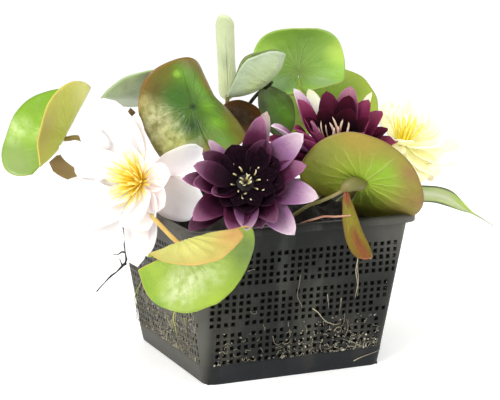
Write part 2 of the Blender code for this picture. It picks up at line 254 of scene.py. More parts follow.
def leaf_finish(name, heart, middle, margin, vein, edge=None, spots=(), painted_highlights=(), veins=0.2,
                main=0.2, relief=0.0002, rough=0.35, coat=0.0, reach=0.045):
    """One face of a pad. Colours run from the stalk (heart) to the margin, with forked veins.
    Spots are soft patches (x, y, radius, colour, strength), in hundredths of the flat blade's
    half size, mostly stains and some painted shade. Painted highlights are patches of the same
    kind, broken up by the creases of the skin."""
    f = Finish(name, 0.25, Coat_Weight=coat, Coat_Roughness=0.25)
    around, out = f.uv("rim")
    x, y = f.uv("flat")
    cloud = f.noise(45, 4, 0.6)
    shade = f.noise(16, 2)
    streaks = f.noise(5, 4, 0.6, f.spot(around * 7, out * 1.3))
    creases = (f.noise(130, 4, 0.6) * 0.5 + streaks * 0.5).ease(0.36, 0.62)
    colour = f.ramp(out, (0.0, heart), (0.5, middle), (0.97, margin))
    # The second table paints highlights into the colour, broken up by the creases.
    for table, broken in ((spots, 1.0), (painted_highlights, creases * 0.75 + 0.2)):
        for px, py, radius, stain, strength in table:
            away = f.near(x * 2 - 1, y * 2 - 1, (px / 100, py / 100))
            inside = (away + (shade - 0.5) * (radius / 100)).ease(radius / 100, 0.0)
            colour = f.mix(inside * (strength / 100) * broken, colour, stain)
    for pattern, low, high, value in ((cloud, 0.4, 0.75, 0.72), (shade, 0.45, 0.7, 1.15)):
        other = f.node("ShaderNodeHueSaturation", Color=colour, Value=value)
        colour = f.mix(pattern.ease(low, high) * 0.3, colour, other)
    waver = f.noise(4, 2, vector=f.spot(around * 3, out * 2))
    fork = abs((around * VEINS + (waver - 0.5) * 0.5).fraction() - 0.5)
    spread = (out - 0.5).over(0) * 0.4
    distance = abs(fork - spread) * out * (2 * pi * reach / VEINS)
    line = distance.ease(VEIN_WIDTH, 0.0) * out.ease(0.05, 0.25) * out.ease(0.9, 0.4)
    ridge = abs(around - 0.5) * out * 2 * pi * reach
    midrib = ridge.ease(VEIN_WIDTH, 0.0002) * out.ease(0.95, 0.5)
    net = f.node("ShaderNodeTexVoronoi", {"feature": "DISTANCE_TO_EDGE"}, Scale=420.0,
                 Vector=f.place()).ease(0.1, 0.0)
    colour = f.mix((line * veins).over(midrib * main).over(net * 0.06), colour, vein)
    if edge:
        rim = (out + (cloud - 0.5) * 0.12).ease(0.92, 1.0)
        colour = f.mix(rim * 0.4, colour, edge)
    return f.done(colour, cloud * 0.2 + (rough - 0.1),
                  line + midrib * 2 + net * 0.15 + cloud * 0.8 + creases * 1.2, relief)


def petal_finish(name, tones, streak, rough=0.45, streaks=0.3, soft=0.15, gloss=0.2, glow=0.0,
                 places=(0.05, 0.38, 0.7, 0.97)):
    """A petal's face. tones gives four colours from base to tip for the tones 0, 0.5, 1, 2."""
    f = Finish(name, gloss, Subsurface_Weight=soft, Subsurface_Scale=0.006,
               Subsurface_Radius=(1, 1, 0.9), Emission_Strength=glow)
    across, along = f.uv("petal")
    tone = f.node("ShaderNodeAttribute", {"attribute_name": "tone"}, 2)
    strands = f.noise(7, 3, 0.6, f.spot(across * 9, along * 0.9, tone * 5))
    cloud = f.noise(55)
    place = along + (strands - 0.5) * 0.22 + (cloud - 0.5) * 0.12
    inner, middle, outer, sepal = (f.ramp(place, *zip(places, codes.split())) for codes in tones)
    colour = f.mix(tone.ease(0.0, 0.5), inner, middle)
    colour = f.mix(tone.ease(0.5, 1.0), colour, outer)
    colour = f.mix(strands.ease(0.45, 0.75) * streaks, colour, streak)
    colour = f.mix(tone.ease(1.4, 1.6), colour, sepal)
    # The glow gives off the face's own colour, painted light that lifts its shade.
    f.set("Emission Color", colour)
    return f.done(colour, strands * 0.25 + tone.ease(0.35, 0.0) * 0.4 + (rough - 0.12),
                  strands + cloud * 0.5, 0.0004)


def stem_finish(name, low, high, rough=0.4):
    f = Finish(name, 0.25)
    cloud = f.noise(120, 4)
    colour = f.mix(f.noise(28).ease(0.35, 0.65), low, high)
    return f.done(colour, cloud * 0.2 + (rough - 0.1), cloud, 0.0003)


def thread_finish(name, codes, glow=0.0):
    """Stamens: colour runs from foot to tip on the UV map."""
    f = Finish(name, 0.2, Emission_Strength=glow)
    grain = f.noise(400)
    foot, body, tip = codes.split()
    colour = f.ramp(f.uv("petal")[1], (0.2, foot), (0.55, body), (0.75, tip))
    # The glow gives off the stamens' own colour, painted light that fills their shade.
    f.set("Emission Color", colour)
    return f.done(f.mix(grain.ease(0.4, 0.8) * 0.25, colour, body), grain * 0.2 + 0.35)


def basket_finish():
    """Dark grey moulded plastic, dulled by a film of dried mud that thickens downwards. It is
    paler high up on the right, and over the whole left wall as painted sheen of the bright floor.
    """
    f = Finish("pond_basket_plastic", 0.15)
    side, height = (f.node("ShaderNodeSeparateXYZ", output=i, Vector=f.place()) for i in (0, 2))
    grain = f.noise(900, 2)
    cloud = f.noise(22, 5, 0.65)
    stretched = f.node("ShaderNodeMapping", Vector=f.place(), Scale=(3.0, 3.0, 0.6))
    drips = f.noise(16, 4, vector=stretched)
    colour = f.mix(cloud.ease(0.3, 0.7), "1c1e1c", "2a2b28")
    colour = f.mix(drips.ease(0.5, 0.66) * 0.4, colour, "484a44")
    mud = (drips * 0.6 + cloud * 0.4).ease(0.46, 0.68) * height.ease(0.10, 0.02)
    colour = f.mix(mud * 0.5, colour, "58544a")
    # Paler high up on the right; paler over the left wall as painted sheen of the floor's light.
    far = side.ease(0.03, 0.09) * height.ease(0.07, 0.12)
    sheen_and_pale_top = side.ease(-0.070, -0.078) * 0.45 + far * 0.55
    colour = f.mix(sheen_and_pale_top * (0.6 + cloud * 0.8), colour, "706e66")
    low = height.ease(0.0165, 0.0145)
    colour = f.mix(low * 0.7 * side.ease(-0.078, -0.06), colour, "1c1e23")
    return f.done(colour, 0.42 + cloud * 0.2 + mud * 0.25, grain * 0.3 + cloud + mud * 0.6, 0.0002)


def soil_finish():
    f = Finish("wet_pond_soil", 0.3)
    grain = f.noise(260, 6, 0.7)
    clump = f.noise(70, 4)
    colour = f.mix(grain.ease(0.35, 0.7), "0e0b08", "2c241c")
    colour = f.mix(clump.ease(0.62, 0.78) * 0.35, colour, "5c4c3a")
    return f.done(colour, grain * 0.3 + 0.6, grain + clump, 0.0012)


def crumb_finish():
    f = Finish("dried_mud_crumbs", 0.25)
    colour = f.ramp(f.noise(210, 2), (0.3, "4a443c"), (0.5, "7c766a"), (0.62, "a39d8e"),
                    (0.75, "d8d2c2"))
    return f.done(colour, f.noise(700) * 0.3 + 0.6)


def floor_finish():
    f = Finish("pale_floor", 0.5, Emission_Strength=0.25, Emission_Color=(1, 1, 1, 1))
    cloud = f.noise(3)
    return f.done(f.mix(cloud, "fbfbfb", "ffffff"), cloud * 0.05 + 0.9)


# ---- making and placing


def in_metres(points):
    return [Vector(point) * MM for point in points]


def piece(name, bm, replaced=(), finishes=()):
    """A finished mesh that rides on the one body, in place of these nodes."""
    mesh = bpy.data.meshes.new(name)
    bm.to_mesh(mesh)
    bm.free()
    return settle(name, mesh, replaced, finishes)


def settle(name, mesh, replaced, finishes):
    obj = bpy.data.objects.new(name, mesh)
    bpy.context.scene.collection.objects.link(obj)
    for finish in finishes:
        mesh.materials.append(finish)
    for face in mesh.polygons:
        face.use_smooth = True
    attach(obj, "root")
    if replaced:
        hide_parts(*replaced)
    return obj


def thicken(obj, wall, back=0):
    """Gives a sheet its wall, away from its normals, with the back face in another finish."""
    made = obj.modifiers.new("wall", "SOLIDIFY")
    made.thickness = wall
    made.offset = -1
    made.material_offset = back
    made.material_offset_rim = back
    return made


class Pad:
    """A lily pad: an oval plate with a notch that runs in to the stalk, as in the solids. notch
    gives the cut-out half angle on either side, swell the (angle, spread, growth) of bulges in
    its outline, crinkle the angle and spread where it is puckered most."""

    def __init__(self, at, faces, spin, size, stalk_to_middle, notch=(4, 4), folds=(0, 0),
                 fold_radius=20, arch=0, wave=0, wave_turn=0, egg=0, frill=1.0, quilt=0.12,
                 pucker=0.4, crinkle=(0, 400), swell=()):
        self.at = Vector(at) * MM
        self.normal = direction(*faces)
        upward = up_on_face(self.normal)
        turn = radians(spin)
        self.tip = cos(turn) * upward + sin(turn) * self.normal.cross(upward)
        self.half_length, self.half_width = size[0] * MM, size[1] * MM
        self.middle = stalk_to_middle * MM
        self.notch = tuple(radians(cut) for cut in notch)
        self.folds = tuple(radians(fold) for fold in folds)
        self.fold_radius = fold_radius * MM
        self.arch = arch
        self.wave, self.wave_turn = wave * MM, radians(wave_turn)
        self.egg = egg
        self.frill, self.quilt, self.pucker = frill * MM, quilt * MM, pucker * MM
        self.swell, self.crinkle = swell, tuple(radians(angle) for angle in crinkle)
        self.seed = Vector(at) * 0.37

    def matrix(self):
        side = self.normal.cross(self.tip)
        turned = Matrix((self.tip, side, self.normal)).transposed().to_4x4()
        return Matrix.Translation(self.at) @ turned

    def angle(self, share):
        """The angle round the stalk at this share of the way from one lobe to the other."""
        low, high = self.notch[0] - pi, pi - self.notch[1]
        return low + (high - low) * share

    def flat(self, around, out):
        """Place on the blade before it bends."""
        grown = out
        for angle, spread, growth in self.swell:
            away = (around - radians(angle)) / radians(spread)
            grown *= 1 + growth * 2 ** (-away * away) * out * out
        x = grown * (self.middle + self.half_length * cos(around))
        y = grown * self.half_width * sin(around) * (1 + self.egg * cos(around))
        return x, y

    def point(self, around, out):
        ripple = noise.noise(self.seed + Vector((cos(around), sin(around), 0)) * 2.2)
        x, y = self.flat(around, out * (1 + 0.018 * ripple * out))
        lift = self.wave * out ** 2 * sin(2 * around + self.wave_turn)
        lift += self.frill * out ** 3 * ripple
        lift += self.quilt * abs(sin(around * VEINS / 2)) * 4 * out * (1 - out)
        lump = noise.noise(self.seed + Vector((around * 2.4, out * 3.5, 0)))
        lump += 0.5 * noise.noise(self.seed + Vector((around * 6, out * 7, 3)))
        near = 2 ** -((around - self.crinkle[0]) / self.crinkle[1]) ** 2
        lift += self.pucker * (0.1 + 0.9 * near) * lump * 3 * out * (1.3 - out)
        fold = self.folds[0] if y > 0 else self.folds[1]
        way = -1 if fold < 0 else 1
        left = -1 if y < 0 else 1
        bent = min(abs(y) / self.fold_radius, abs(fold))
        flat = max(abs(y) - self.fold_radius * abs(fold), 0)
        across = self.fold_radius * sin(bent) + flat * cos(fold) - lift * way * sin(bent)
        height = way * (self.fold_radius * (1 - cos(bent)) + flat * sin(abs(fold)))
        height += lift * cos(bent)
        if self.arch:
            radius = 1 / self.arch
            along = sin(self.arch * x) * (radius - height)
            height = radius - cos(self.arch * x) * (radius - height)
            x = along
        return Vector((x, left * across, height))


def make_blade(name, pad, finishes):
    bm = bmesh.new()
    bmesh.ops.create_grid(bm, x_segments=SECTORS, y_segments=RINGS, size=1)
    rim = bm.loops.layers.uv.new("rim")
    flat = bm.loops.layers.uv.new("flat")
    for vert in bm.verts:
        around, out = pad.angle((1 - vert.co.x) / 2), (vert.co.y + 1) / 2
        x, y = pad.flat(around, out)
        for loop in vert.link_loops:
            loop[rim].uv = (around / (2 * pi) + 0.5, out)
            loop[flat].uv = (x / pad.half_length / 2 + 0.5, y / pad.half_width / 2 + 0.5)
        vert.co = pad.matrix() @ pad.point(around, out)
    bmesh.ops.remove_doubles(bm, verts=bm.verts, dist=1e-6)
    thicken(piece(name + "_blade", bm, (name,), finishes), BLADE * 0.75, 1)


def make_tubes(name, routes, sides, steps, finish, replaced=()):
    """Round tubes along smooth knots, each route a list of (point, radius), with the direction
    at its two ends or None where it is free."""
    curve = bpy.data.curves.new(name, "CURVE")
    curve.dimensions = "3D"
    curve.resolution_u = steps
    curve.bevel_depth = 1
    curve.bevel_resolution = sides
    curve.use_fill_caps = True
    for route, ends in routes:
        spline = curve.splines.new("BEZIER")
        spline.bezier_points.add(len(route) - 1)
        knots = spline.bezier_points
        for knot, (point, radius) in zip(knots, route):
            knot.co, knot.radius = point, radius
            knot.handle_left_type = knot.handle_right_type = "AUTO"
        for way, knot, other in zip(ends or (), (knots[0], knots[-1]), (knots[1], knots[-2])):
            reach = (knot.co - other.co).length * HANDLE
            knot.handle_left_type = knot.handle_right_type = "FREE"
            knot.handle_left = knot.co - way * reach
            knot.handle_right = knot.co + way * reach
    tube = bpy.data.objects.new(name, curve)
    mesh = bpy.data.meshes.new_from_object(tube)
    bpy.data.objects.remove(tube)
    bpy.data.curves.remove(curve)
    settle(name, mesh, replaced, (finish,))


def make_stalk(name, root, through, end, arrival, radii, colours):
    """The stalk of a leaf or flower, from the soil to its end, with a radius at every knot."""
    foot = Vector((root[0] * MM, root[1] * MM, SOIL_TOP - STALK_ROOT))
    knots = list(zip([foot, *in_metres(through), end], radii))
    make_tubes(name + "_stem", [(knots, (Vector((0, 0, 1)), arrival))], 3, 14,
               stem_finish(name + "_stem", *colours.split()), (name + "_stalk",))


def taper(low, high, count):
    return [low + (high - low) * i / (count - 1) for i in range(count)]


def thread(points, radius):
    """A route that thins towards its end."""
    return [(point, radius * (1 - 0.7 * i / (len(points) - 1))) for i, point in enumerate(points)]


def add_sheet(bm, across, along):
    """A grid, as its vertices with their places on it: -1 to 1 across and 0 to 1 along."""
    uv = bm.loops.layers.uv["petal"]
    made = bmesh.ops.create_grid(bm, x_segments=across, y_segments=along, size=1)["verts"]
    sheet = {vert: (vert.co.x, (vert.co.y + 1) / 2) for vert in made}
    for vert, (way, share) in sheet.items():
        for loop in vert.link_loops:
            loop[uv].uv = ((way + 1) / 2, share)
    return sheet


def add_petal(bm, centre, axis, petal, shape):
    """One petal on a grid: (clock, opening, length, width, tone). shape is (fullness and
    pointedness of the tip, cup, bow, curl of the tip, how near to the base the bow lies)."""
    clock, opening, length, width, *tone = petal
    fullness, point, cup, bow, curl, early = shape
    top = up_on_face(axis)
    turn, lean = radians(clock), radians(opening)
    outward = cos(turn) * top + sin(turn) * top.cross(axis)
    tip = centre + length * MM * (cos(lean) * axis + sin(lean) * outward)
    base = centre + outward * RECEPTACLE_RADIUS * PETAL_SEAT
    line = tip - base
    across = outward.cross(axis)
    inner = across.cross(line).normalized()
    level = bm.faces.layers.float["tone"]
    sheet = add_sheet(bm, 8, 14)
    for face in {face for vert in sheet for face in vert.link_faces}:
        face[level] = tone[0] if tone else ease(opening, 45, 110)
    shift = Vector((clock, opening, length))
    for vert, (way, along) in sheet.items():
        rise = 0.3 + 0.7 * ease(along, 0, 0.5)
        close = max(1 - max((along - 0.42) / 0.58, 0) ** fullness, 0) ** point
        half = rise * close * width * MM / 2
        back = bow * line.length * along * (1 - along) ** early
        back -= curl * line.length * ease(along, 0.72, 1.0) * 0.5
        ripple = noise.noise(shift + Vector((way, along * 2, 0))) * 0.14 * half
        ripple -= 0.06 * half * (1 - abs(way)) * ease(along, 0.2, 0.6)
        middle = base + along * line - inner * back
        vert.co = middle + across * way * half + inner * (cup * half * way * way + ripple)
    bmesh.ops.remove_doubles(bm, verts=list(sheet), dist=1e-7)


def whorl(count, first, opening, swing, length, width, tone):
    """Petals evenly round the axis, more open on the side at clock 90 by swing."""
    clocks = [first + 360 * i / count for i in range(count)]
    return [(clock, opening + swing * cos(radians(clock - 90)), length, width, tone)
            for clock in clocks]


def make_petals(name, centre, axis, petals, shape, finishes):
    bm = bmesh.new()
    bm.loops.layers.uv.new("petal")
    bm.faces.layers.float.new("tone")
    for petal in petals:
        add_petal(bm, centre, axis, petal, shape)
    bm.normal_update()
    middle = centre + axis * (RECEPTACLE_TOP - RECEPTACLE_DEPTH / 2)
    turned = Matrix.Translation(middle) @ axis.to_track_quat("Z", "Y").to_matrix().to_4x4()
    flower = piece(name + "_petals", bm, (name,), finishes)
    thicken(flower, PETAL_WALL, 1).material_offset_rim = 0
    hub = bmesh.new()
    bmesh.ops.create_cone(hub, cap_ends=True, segments=32, radius1=RECEPTACLE_FOOT,
                          radius2=RECEPTACLE_RADIUS, depth=RECEPTACLE_DEPTH, matrix=turned)
    bmesh.ops.bevel(hub, geom=hub.edges, offset=0.001, affect="EDGES", segments=3, profile=0.5,
                    material=-1)
    piece(name + "_receptacle", hub, (), (finishes[2],))


def make_stamens(name, centre, axis, rings, finish, radius):
    """Rings of (count, foot, reach, height, bend) of curved stamens, each a rolled-up grid."""
    bm = bmesh.new()
    bm.loops.layers.uv.new("petal")
    pick = Random(3)
    side = up_on_face(axis)
    other = axis.cross(side)
    for count, foot, reach, height, bend in rings:
        for i in range(count):
            turn = 2 * pi * (i + pick.uniform(-0.35, 0.35)) / count
            outward = cos(turn) * side + sin(turn) * other
            across = axis.cross(outward)
            size = pick.uniform(0.82, 1.12)
            sway = pick.uniform(-0.5, 0.5) * bend * height * MM
            start = centre + axis * RECEPTACLE_TOP + outward * foot * MM
            for vert, (way, along) in add_sheet(bm, 5, 8).items():
                round_it = pi * way
                out = (reach - foot) * MM * (along + bend * along * (1 - along)) * size
                thick = radius * (1.1 - 0.4 * along) if 0 < along < 1 else 0
                vert.co = (start + outward * (out + cos(round_it) * thick * 0.5)
                           + axis * height * MM * along * size
                           + across * (sway * along * along + sin(round_it) * thick))
    bmesh.ops.remove_doubles(bm, verts=bm.verts, dist=1e-7)
    bmesh.ops.recalc_face_normals(bm, faces=bm.faces)
    piece(name + "_cluster", bm, (name,), (finish,))


# ---- the basket


def only(kind, geometry):
    return [part for part in geometry if isinstance(part, kind)]


def add_hoop(bm, centre, profile):
    """Sweeps a closed profile of (out from the corner's centre, height) round the basket, with
    the corners' centres at this distance from the middle planes."""
    ring = [bm.verts.new((centre + out, centre, z)) for out, z in profile]
    swept = ring + [bm.edges.new(pair) for pair in zip(ring, ring[1:] + ring[:1])]
    for corner in range(4):
        turned = Matrix.Rotation(corner * pi / 2, 3, "Z")
        swept = bmesh.ops.spin(bm, geom=swept, cent=turned @ Vector((centre, centre, 0)),
                               axis=(0, 0, 1), angle=pi / 2, steps=8)["geom_last"]
        made = bmesh.ops.extrude_edge_only(bm, edges=only(bmesh.types.BMEdge, swept))["geom"]
        verts = set(only(bmesh.types.BMVert, made))
        bmesh.ops.translate(bm, verts=list(verts), vec=turned @ Vector((-2 * centre, 0, 0)))
        swept = list(verts) + [edge for edge in only(bmesh.types.BMEdge, made)
                               if verts.issuperset(edge.verts)]
    bmesh.ops.remove_doubles(bm, verts=bm.verts, dist=1e-6)
    bmesh.ops.recalc_face_normals(bm, faces=bm.faces)


def wall_lines():
    """The edges of the mesh holes across the wall and up it."""
    columns = [(k - MESH_COLUMNS / 2 + 0.5) * MESH_PITCH for k in range(MESH_COLUMNS)]
    across = [x + side * MESH_HOLE / 2 for x in columns for side in (-1, 1)]
    rows = [BAND_HEIGHT - 0.002]
    for middle, _ in MESH_BANDS:
        for row in range(MESH_ROWS):
            z = middle + (row - (MESH_ROWS - 1) / 2) * MESH_ROW_PITCH
            rows += [z - MESH_HOLE / 2, z + MESH_HOLE / 2]
    return across, rows + [BASKET_HEIGHT - WALL * 0.5]


def band_columns(row):
    """The number of mesh columns at this line of the wall."""
    band = min(max((row - 1) // (2 * MESH_ROWS), 0), len(MESH_BANDS) - 1)
    return MESH_BANDS[band][1]


def make_walls(bm):
    """One pierced wall from corner to corner, turned round to all four sides."""
    across, rows = wall_lines()
    last = len(across) - 1 + 2 * CORNER_LINES
    made = bmesh.ops.create_grid(bm, x_segments=last, y_segments=len(rows) - 1, size=1)["verts"]
    uv = bm.loops.layers.uv.new("wall")
    pick, holes = Random(2), []
    for face in bm.faces:
        middle = face.calc_center_median()
        column = int((middle.x + 1) / 2 * last) - CORNER_LINES
        row = int((middle.y + 1) / 2 * (len(rows) - 1))
        plain = MESH_COLUMNS - band_columns(row + 1)
        if row % 2 and column % 2 == 0 and plain <= column < len(across) - plain:
            if pick.random() > CLOGGED_HOLES:
                holes.append(face)
    for vert in made:
        line = round((vert.co.x + 1) / 2 * last) - CORNER_LINES
        row = round((vert.co.y + 1) / 2 * (len(rows) - 1))
        z = rows[row]
        flat = wall_width(z) / 2 - CORNER_RADIUS
        far = flat + CORNER_RADIUS * pi / 4
        plain = MESH_COLUMNS - band_columns(row)
        first, end = plain, len(across) - 1 - plain
        if line < first:
            share = (first - line) / (first + CORNER_LINES)
            way = across[first] * (1 - share) - far * share
        elif line > end:
            share = (line - end) / (first + CORNER_LINES)
            way = across[end] * (1 - share) + far * share
        else:
            way = across[line]
            z += 0.0006 * noise.noise(Vector((way, z, 0)) * 300)
            way += 0.0006 * noise.noise(Vector((way, z, 1)) * 300)
        turn = max(abs(way) - flat, 0) / CORNER_RADIUS
        side = -1 if way < 0 else 1
        x = min(abs(way), flat) + CORNER_RADIUS * sin(turn)
        vert.co = (side * x, -flat - CORNER_RADIUS * cos(turn), z)
        for loop in vert.link_loops:
            loop[uv].uv = (way * 10, z * 10)
    bmesh.ops.delete(bm, geom=holes, context="FACES")
    quarter = list(bm.verts) + list(bm.edges) + list(bm.faces)
    for turn in (1, 2, 3):
        copied = bmesh.ops.duplicate(bm, geom=quarter)["geom"]
        bmesh.ops.rotate(bm, verts=only(bmesh.types.BMVert, copied),
                         matrix=Matrix.Rotation(turn * pi / 2, 3, "Z"))
    bmesh.ops.remove_doubles(bm, verts=bm.verts, dist=2e-5)
    bmesh.ops.recalc_face_normals(bm, faces=bm.faces)


def make_base(bm):
    """The pierced base inside the band."""
    half = inner_width(0) / 2 - 0.0005
    cells = 2 * BASE_HOLES + 1
    bmesh.ops.create_grid(bm, x_segments=cells, y_segments=cells, size=half)
    holes = []
    for face in bm.faces:
        middle = face.calc_center_median()
        column, row = (int((part + half) / (2 * half) * cells) for part in middle.xy)
        if column % 2 and row % 2:
            holes.append(face)
    bmesh.ops.delete(bm, geom=holes, context="FACES")
    bmesh.ops.translate(bm, verts=bm.verts, vec=(0, 0, WALL))


def make_basket(finish):
    """Pierced walls and base, with a base band and a rim swept round them."""
    for name, shape, replaced in (("walls", make_walls, ("basket",)), ("base", make_base, ())):
        bm = bmesh.new()
        shape(bm)
        sheet = piece("basket_" + name, bm, replaced, (finish,))
        thicken(sheet, WALL)
        for face in sheet.data.polygons:
            face.use_smooth = False
    centre = BOTTOM_WIDTH / 2 - CORNER_RADIUS
    inside, side = inner_width(0) / 2 - centre, wall_width(BAND_HEIGHT) / 2 - centre
    edge, top = side + BAND_PROUD, BAND_HEIGHT + BAND_PROUD
    band = (centre, (
        (inside, 0.0004), (CORNER_RADIUS - 0.0006, 0.0), (CORNER_RADIUS, 0.0008),
        (edge - 0.0001, BAND_HEIGHT - 0.0008), (edge - 0.0005, BAND_HEIGHT),
        (side - 0.0004, top), (side - WALL, top)))
    centre = WALL_TOP_WIDTH / 2 - CORNER_RADIUS
    inside, edge = inner_width(BASKET_HEIGHT) / 2 - centre, RIM_WIDTH / 2 - centre
    top, under, lip = BASKET_HEIGHT, BASKET_HEIGHT - WALL, BASKET_HEIGHT - RIM_LIP
    rim = (centre, (
        (inside - 0.0004, lip), (CORNER_RADIUS - 0.0004, lip - 0.0008),
        (CORNER_RADIUS, under - 0.0012), (CORNER_RADIUS + 0.0012, under), (edge - WALL, under),
        (edge - WALL, lip), (edge - 0.0003, lip), (edge, lip + 0.0005), (edge, top - 0.0012),
        (edge - 0.0005, top - 0.0004), (edge - 0.0014, top), (inside + 0.0008, top),
        (inside, top - 0.0006)))
    for name, hoop in (("band", band), ("rim", rim)):
        bm = bmesh.new()
        add_hoop(bm, *hoop)
        made = piece("basket_" + name, bm, (), (finish,))
        made.data.set_sharp_from_angle(angle=radians(40))


# The mounds of roots and old stalks, as (middle, height, spread) in metres.
CROWNS = (((0.006, -0.058), 0.024, 0.026), ((-0.038, 0.006), 0.022, 0.026),
          ((0.045, 0.012), 0.020, 0.032), ((-0.055, -0.045), 0.012, 0.020))


def make_soil(finish):
    bm = bmesh.new()
    bmesh.ops.create_cube(bm, size=2)
    bmesh.ops.subdivide_edges(bm, edges=bm.edges, cuts=45, use_grid_fill=True)
    floor = WALL + 0.001
    for vert in bm.verts:
        x, y, z = vert.co
        up = (z + 1) / 2
        height = floor + (SOIL_TOP - floor) * up
        half = inner_width(height) / 2 - 0.0006
        stretch = max(abs(x), abs(y)) / max((x ** 16 + y ** 16) ** 0.0625, 1e-9)
        place = Vector((x * half * stretch, y * half * stretch, height))
        lump = noise.fractal(place * 90, 0.7, 2.1, 4)
        if z > 0.999:
            shore = ease(max(abs(x), abs(y)), 0.8, 1.0)
            place.z += -0.0035 + 0.004 * lump * (1 - shore) - 0.002 * shore
            for middle, height, spread in CROWNS:
                away = (place.xy - Vector(middle)).length / spread
                place.z += height * 2 ** (-away * away) * (1 - shore) * (1 + 0.4 * lump)
        else:
            inward = 0.0012 + 0.0012 * max(lump, -0.9)
            place -= Vector((place.x, place.y, 0)).normalized() * max(inward, 0)
        vert.co = place
    bmesh.ops.recalc_face_normals(bm, faces=bm.faces)
    piece("soil_block", bm, ("soil",), (finish,))


def on_front(x, z, proud=0.6):
    """A point on the front wall, x and z and its height above the wall in mm."""
    return Vector((x * MM, -wall_width(z * MM) / 2 - proud * MM, z * MM))


def on_left(y, z, proud=0.6):
    return Vector((-wall_width(z * MM) / 2 - proud * MM, y * MM, z * MM))


def smooth_route(points, steps=6):
    """The route as a Catmull-Rom curve."""
    ends = [points[0], *points, points[-1]]
    made = []
    for a, b, c, d in zip(ends, ends[1:], ends[2:], ends[3:]):
        for t in (step / steps for step in range(steps)):
            made.append(0.5 * ((2 * b) + (c - a) * t + (2 * a - 5 * b + 4 * c - d) * t * t
                               + (3 * b - a - 3 * c + d) * t ** 3))
    return [*made, points[-1]]


# Roots and threads on the front wall, as (radius, points of x and z).
FRONT_ROOTS = (
    (0.45, (10, 54), (15, 50), (20, 44), (26, 40), (33, 38.5), (36, 40)),
    (0.35, (30, 33), (33, 36), (36, 35), (34, 32), (31, 34)),
    (0.4, (46, 96), (46, 86), (47.5, 74), (48, 60)),
    (0.35, (-2, 82), (-3, 74), (-4, 66), (-1, 60), (1, 56)),
    (0.3, (-22, 35), (-20, 29), (-17, 27), (-15, 28)),
    (0.3, (-12, 27), (-8, 28), (-6, 31)),
    (0.3, (22, 64), (23, 58), (24, 52)),
    (0.3, (34, 60), (34, 54), (33, 48)),
    (0.35, (40, 42), (42, 36), (41, 30), (39, 27)),
    (0.45, (49, 6), (54, 8), (60, 9.5), (67, 11), (73, 13)),
    (0.3, (-42, 57), (-39, 54.5), (-37, 55), (-37, 57)),
    (0.3, (-66, 26), (-63, 27), (-60, 25), (-59, 27)),
    (0.25, (-54, 24), (-52, 21.5), (-48, 22)),
    (0.25, (44, 24), (49, 21), (55, 18), (58, 17)),
    (0.3, (38, 47), (38, 40), (36, 36)),
    (0.5, (46, 90), (45, 81), (47, 70), (46, 59)),
    (0.3, (-46, 89), (-43, 90), (-40, 90)),
)
LEFT_ROOTS = (
    (0.6, (46, 56), (53, 49), (62, 40), (68, 31)),
    (0.5, (68, 31), (70, 24), (70, 20)),
    (0.5, (-54, 50), (-51, 40), (-47, 32)),
    (0.35, (-30, 50), (-28, 42), (-26, 37)),
)


def make_roots(finish):
    pick = Random(11)
    routes = []
    for table, on in ((FRONT_ROOTS, on_front), (LEFT_ROOTS, on_left)):
        for radius, *points in table:
            route = [on(*point, pick.uniform(0.5, 1.4)) for point in points]
            routes.append((thread(route, radius * MM), None))
    for _ in range(FRONT_STRAYS):
        x, z = pick.uniform(-68, 68), 17 + 26 * pick.random() ** 1.6
        if pick.random() < 0.3 + 0.7 * ease(x, -20, 40):
            routes.append((stray(pick, on_front, x, z, 3.5), None))
    for _ in range(LEFT_STRAYS):
        y, z = pick.uniform(-70, 74), 17 + 80 * pick.random() ** 1.6
        routes.append((stray(pick, on_left, y, z, 5), None))
    make_tubes("hanging_roots", routes, 0, 3, finish)


def stray(pick, on, across, z, reach):
    """A short bent root end that lies on a wall."""
    turn = pick.uniform(0, 2 * pi)
    points = []
    for _ in range(4):
        points.append(on(across, z, pick.uniform(0.2, 1.6)))
        turn += pick.uniform(-0.9, 0.9)
        across += reach * pick.uniform(0.5, 1) * cos(turn) * 0.6
        z = max(z + reach * pick.uniform(0.5, 1) * sin(turn) * 0.6, 16.5)
    return thread(points, 0.22 * MM)


# The dark roots that hang outside the rim on the left, as (radius, points).
DARK_ROOTS = (
    (1.3, (-97, -16, 116), (-110, -15, 110), (-117, -15, 104), (-117, -17, 96), (-118, -18, 88),
     (-120, -18, 86), (-125, -17, 81), (-129, -16, 78), (-134, -15, 73), (-140, -13, 66)),
    (0.8, (-117, -17, 95), (-120, -16, 96), (-123, -15, 94), (-126, -13, 94)),
    (0.9, (-117, -18, 87), (-120, -17, 86), (-121, -16, 88), (-122, -16, 91)))


# Green strands on the left wall, as points of y and z.
GREEN_STRANDS = (
    ((48, 53), (61, 44), (70, 35), (69, 27)),
    ((-29, 48), (-24, 40), (-26, 34), (-25, 27)),
    ((-51, 48), (-50, 42)),
)


def make_green_strands(finish):
    routes = [(thread([on_left(*point, 1.2) for point in points], 0.6 * MM), None)
              for points in GREEN_STRANDS]
    make_tubes("green_strands", routes, 0, 3, finish)


def make_dark_roots(finish):
    routes = []
    for radius, *points in DARK_ROOTS:
        knots = thread(in_metres(points), radius * MM)
        routes.append(([(point, thick * (1.3 if i % 2 else 0.8))
                        for i, (point, thick) in enumerate(knots)], None))
    make_tubes("dark_roots", routes, 1, 4, finish)


